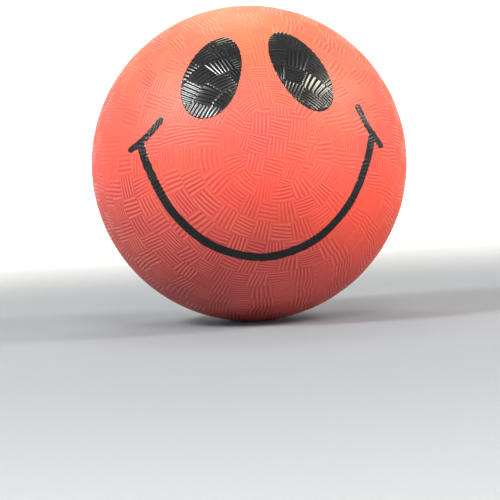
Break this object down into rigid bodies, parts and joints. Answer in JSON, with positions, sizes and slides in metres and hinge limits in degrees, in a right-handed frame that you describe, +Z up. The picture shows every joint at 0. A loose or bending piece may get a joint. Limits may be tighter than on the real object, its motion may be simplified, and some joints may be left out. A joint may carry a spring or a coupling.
{
  "type": "playground ball",
  "caption": "Hollow two-ply rubber playground ball with a black printed smiling face and a removable needle-valve plug at the back.",
  "frame": {"origin": "centre of the ball", "axes": "+Z up, the printed face looks along -Y, and the needle valve is at the back pole on +Y"},
  "size_m": [0.178, 0.1779, 0.178],
  "materials": {
    "cover_rubber": "satin",
    "butyl_rubber": "matte",
    "valve_rubber": "satin",
    "plug_rubber": "satin",
    "face_ink": "gloss"
  },
  "bodies": {
    "ball": {"front_cover": "cover_rubber", "rear_cover": "cover_rubber", "bladder": "butyl_rubber", "valve_patch": "butyl_rubber", "valve_housing": "valve_rubber", "left_eye": "face_ink", "right_eye": "face_ink", "smile": "face_ink"},
    "plug": {"valve_plug": "plug_rubber"}
  },
  "joints": [
    {"name": "valve_plug_slide", "type": "slide", "parent": "ball", "child": "plug", "axis": [0, 1, 0], "range_m": [0, 0.02]}
  ]
}
